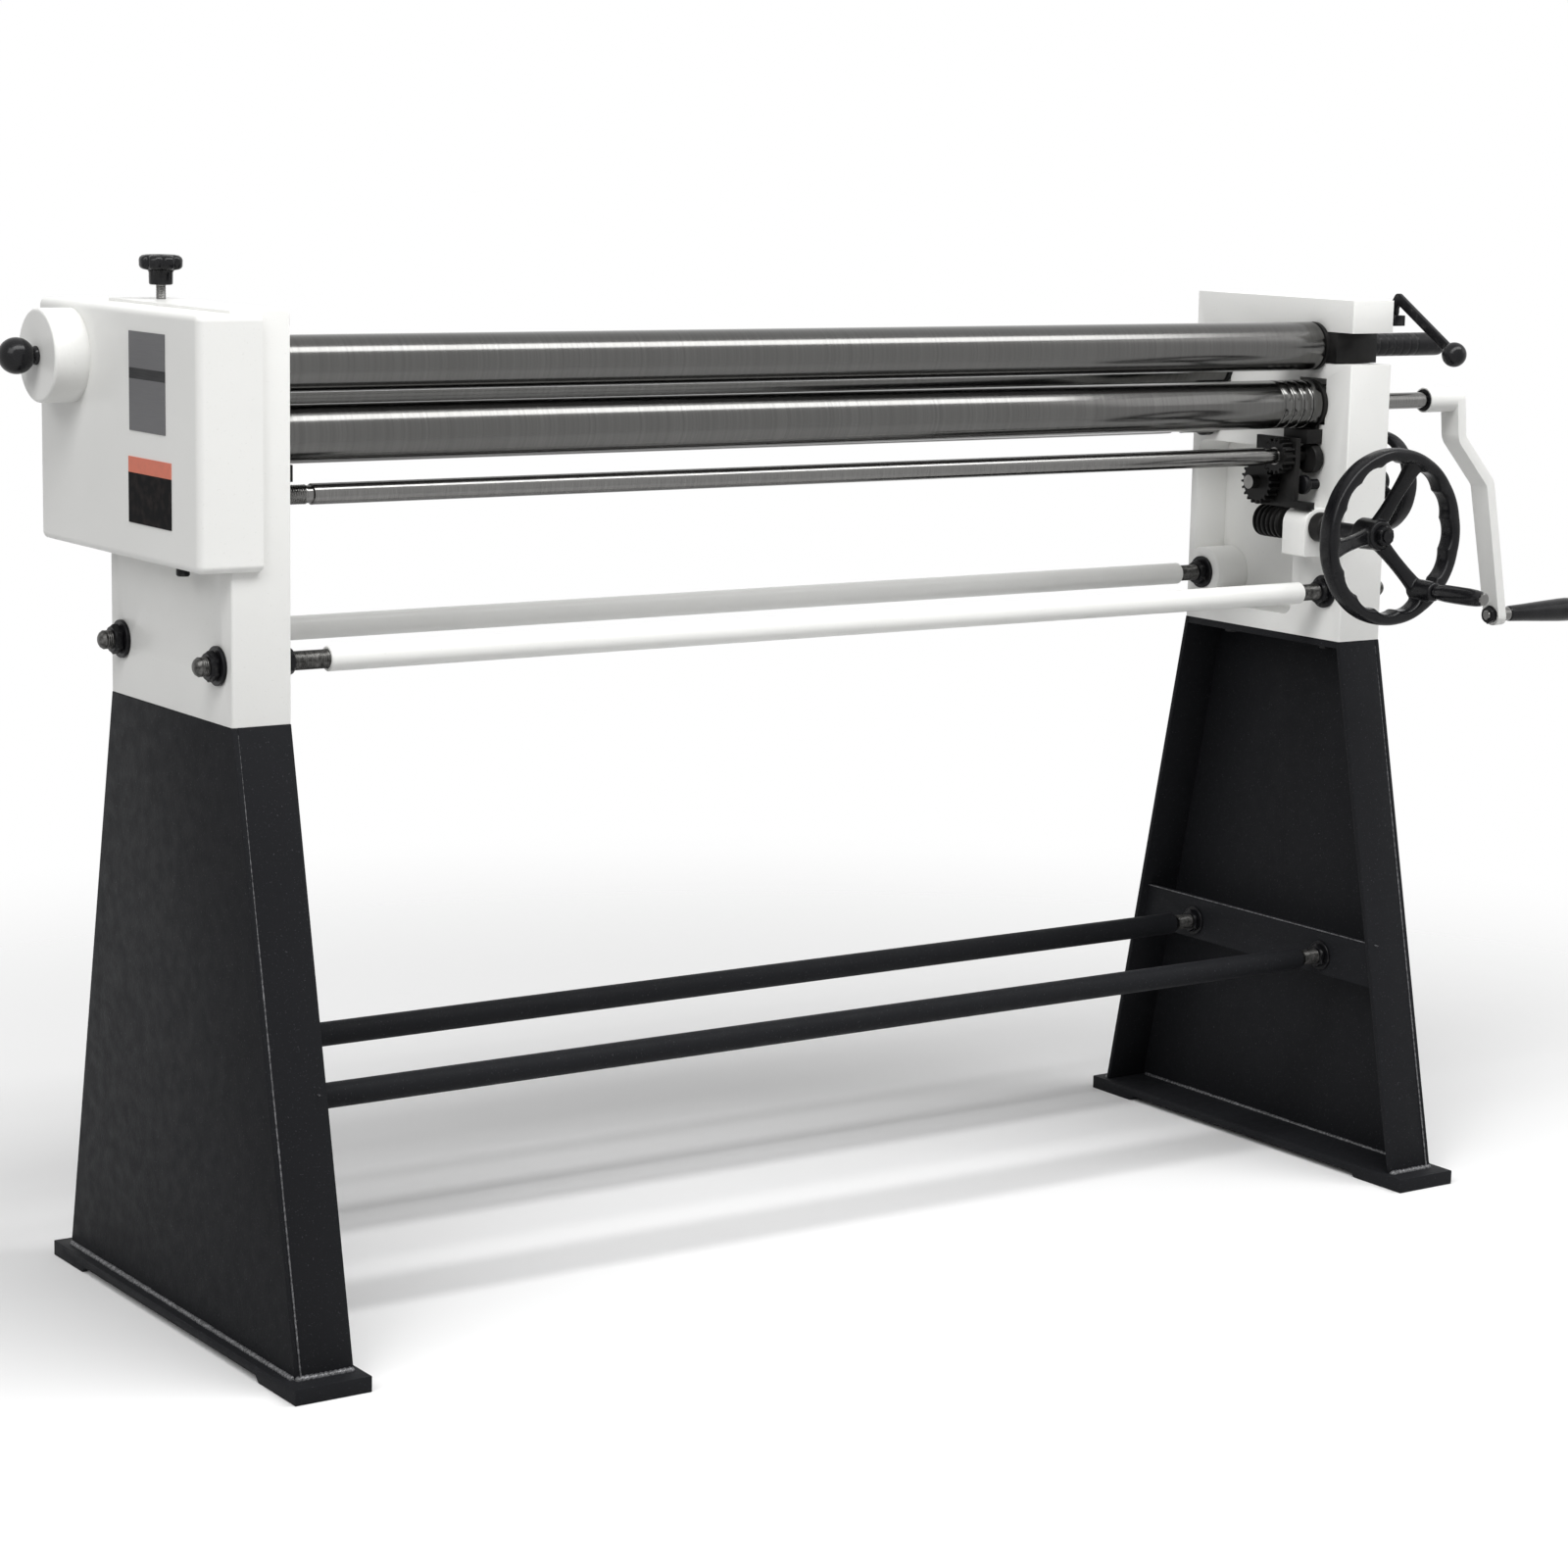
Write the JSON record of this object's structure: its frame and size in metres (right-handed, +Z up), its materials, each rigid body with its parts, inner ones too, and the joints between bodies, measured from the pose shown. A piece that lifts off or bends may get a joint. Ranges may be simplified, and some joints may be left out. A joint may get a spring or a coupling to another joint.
{
  "type": "slip roll",
  "caption": "Hand-cranked slip roll: forming rolls between white cast housings on dark splayed stands, with a handwheel lift, a swing-out upper roll and a covered gear end.",
  "frame": {"origin": "on the floor, under the middle of the whole machine", "axes": "+X along the rolls toward the crank, +Y from the operator's side toward the rear roll, +Z up"},
  "size_m": [1.9642, 0.606, 1.051],
  "materials": {
    "stand_paint": "dark charcoal hammered enamel",
    "body_paint": "off-white sprayed enamel",
    "ground_steel": "ground and polished round bar",
    "bright_steel": "turned bright steel",
    "black_steel": "black oxide steel",
    "dark_iron": "oiled dark iron",
    "black_casting": "gloss black enamel on casting",
    "black_plastic": "moulded black plastic",
    "bronze": "bearing bronze",
    "silver_plate": "satin plate with a black band",
    "dark_plate": "dark plate with an orange top band"
  },
  "bodies": {
    "frame": {"left_stand_base_plate": "stand_paint", "left_stand_side_plate": "stand_paint", "left_stand_front_flange": "stand_paint", "left_stand_rear_flange": "stand_paint", "left_stand_top_plate": "stand_paint", "left_stand_cross_bar": "stand_paint", "right_stand_base_plate": "stand_paint", "right_stand_side_plate": "stand_paint", "right_stand_front_flange": "stand_paint", "right_stand_rear_flange": "stand_paint", "right_stand_top_plate": "stand_paint", "right_stand_cross_bar": "stand_paint", "stand_tie_rods": "stand_paint", "stand_rod_nuts": "black_steel", "left_housing": "body_paint", "right_housing": "body_paint", "housing_bolts": "black_steel", "frame_tie_tubes": "body_paint", "frame_tie_studs": "black_steel", "frame_rod_nuts": "black_steel", "gear_cover": "body_paint", "cover_screw": "black_steel", "data_plate": "silver_plate", "lower_plate": "dark_plate", "lift_bracket": "dark_iron", "ball_seat": "dark_iron", "lever_stop": "black_steel"},
    "lower_blocks": {"lower_block_left": "dark_iron", "lower_block_right": "dark_iron"},
    "lower_roll_group": {"lower_roll": "ground_steel", "lower_gear": "dark_iron", "crank_arm": "body_paint", "crank_pin": "bright_steel"},
    "crank_grip_group": {"crank_grip": "black_plastic"},
    "swing_blocks": {"upper_block": "dark_iron", "ball_bush": "bronze"},
    "upper_roll_group": {"upper_roll": "ground_steel"},
    "upper_gear_group": {"upper_gear": "dark_iron"},
    "lever_group": {"release_lever": "black_steel", "release_lever_ball": "black_plastic"},
    "front_cam_shaft": {"front_cross_shaft": "bright_steel", "lift_shaft_gear": "dark_iron"},
    "worm_wheel_group": {"worm_wheel_shaft": "bright_steel", "lift_stub_gear": "dark_iron"},
    "handwheel_group": {"handwheel": "black_casting", "handwheel_nut": "black_steel", "worm_shaft": "bright_steel", "shaft_collar": "dark_iron", "handle_pin": "bright_steel"},
    "handle_group": {"handwheel_handle": "black_plastic"},
    "lock_group": {"lock_screw": "black_steel", "lock_wheel": "black_casting"},
    "rear_blocks": {"rear_block_left": "dark_iron", "rear_block_right": "dark_iron"},
    "rear_roll_group": {"rear_roll": "ground_steel"},
    "rear_cam_shaft": {"rear_cross_shaft": "bright_steel"},
    "star_knob_group": {"star_knob": "black_plastic", "star_knob_stud": "bright_steel"},
    "pull_knob_group": {"pull_rod": "bright_steel", "pull_ball_knob": "black_plastic"}
  },
  "joints": [
    {"name": "handwheel_turn", "type": "hinge", "parent": "frame", "child": "handwheel_group", "pos_m": [0.51187, -0.103, 0.75], "axis": [0, 1, 0], "range_deg": [-230.38, 921.53]},
    {"name": "handle_spin", "type": "hinge", "parent": "handwheel_group", "child": "handle_group", "pos_m": [0.56105, -0.203, 0.68817], "axis": [0, 1, 0], "continuous": true},
    {"name": "worm_wheel_turn", "type": "hinge", "parent": "frame", "child": "worm_wheel_group", "pos_m": [0.49188, -0.011, 0.7973], "axis": [-1, 0, 0], "range_deg": [-38.44, 9.61]},
    {"name": "front_cam_shaft_turn", "type": "hinge", "parent": "frame", "child": "front_cam_shaft", "pos_m": [-0.80812, -0.04, 0.829], "axis": [-1, 0, 0], "range_deg": [-12.01, 48.04]},
    {"name": "lower_roll_lift", "type": "slide", "parent": "frame", "child": "lower_blocks", "axis": [0, 0, 1], "range_m": [-0.002, 0.00801]},
    {"name": "lower_roll_spin", "type": "hinge", "parent": "lower_blocks", "child": "lower_roll_group", "pos_m": [-0.80812, -0.04, 0.888], "axis": [1, 0, 0], "continuous": true},
    {"name": "crank_grip_spin", "type": "hinge", "parent": "lower_roll_group", "child": "crank_grip_group", "pos_m": [0.89187, -0.04, 0.626], "axis": [1, 0, 0], "continuous": true},
    {"name": "upper_roll_swing", "type": "hinge", "parent": "frame", "child": "swing_blocks", "pos_m": [-0.83913, -0.04, 0.954], "axis": [0, 0, -1], "range_deg": [0, 6]},
    {"name": "upper_roll_spin", "type": "hinge", "parent": "swing_blocks", "child": "upper_roll_group", "pos_m": [-0.80812, -0.04, 0.954], "axis": [1, 0, 0], "continuous": true},
    {"name": "upper_gear_spin", "type": "hinge", "parent": "frame", "child": "upper_gear_group", "pos_m": [-0.87813, -0.04, 0.954], "axis": [1, 0, 0], "continuous": true},
    {"name": "release_lever_turn", "type": "hinge", "parent": "frame", "child": "lever_group", "pos_m": [0.60987, -0.083, 0.995], "axis": [-1, 0, 0], "range_deg": [0, 90.1]},
    {"name": "lock_wheel_turn", "type": "hinge", "parent": "frame", "child": "lock_group", "pos_m": [0.62687, -0.053, 0.796], "axis": [1, 0, 0], "range_deg": [-180, 180]},
    {"name": "rear_roll_lift", "type": "slide", "parent": "frame", "child": "rear_blocks", "axis": [0, 0, 1], "range_m": [-0.0095, 0.004]},
    {"name": "star_knob_turn", "type": "hinge", "parent": "rear_blocks", "child": "star_knob_group", "pos_m": [-0.83313, 0.125, 1.03], "axis": [0, 0, 1], "range_deg": [-1712, 721]},
    {"name": "rear_cam_shaft_turn", "type": "hinge", "parent": "frame", "child": "rear_cam_shaft", "pos_m": [-0.80812, 0.125, 0.853], "axis": [1, 0, 0], "range_deg": [-48.52, 20.43]},
    {"name": "rear_roll_spin", "type": "hinge", "parent": "rear_blocks", "child": "rear_roll_group", "pos_m": [-0.80812, 0.125, 0.925], "axis": [1, 0, 0], "continuous": true},
    {"name": "pull_knob_slide", "type": "slide", "parent": "frame", "child": "pull_knob_group", "axis": [-1, 0, 0], "range_m": [0, 0.015]}
  ],
  "couplings": [
    {"joint": "worm_wheel_turn", "follows": "handwheel_turn", "ratio": -0.041667},
    {"joint": "front_cam_shaft_turn", "follows": "handwheel_turn", "ratio": 0.052083},
    {"joint": "lower_roll_lift", "follows": "handwheel_turn", "m_per_rad": 0.0004974},
    {"joint": "upper_roll_spin", "follows": "lower_roll_spin", "ratio": -1},
    {"joint": "upper_gear_spin", "follows": "lower_roll_spin", "ratio": -1},
    {"joint": "release_lever_turn", "follows": "upper_roll_swing", "ratio": 15},
    {"joint": "star_knob_turn", "follows": "rear_roll_lift", "rad_per_m": 3141.6},
    {"joint": "rear_cam_shaft_turn", "follows": "rear_roll_lift", "rad_per_m": 89.047}
  ]
}
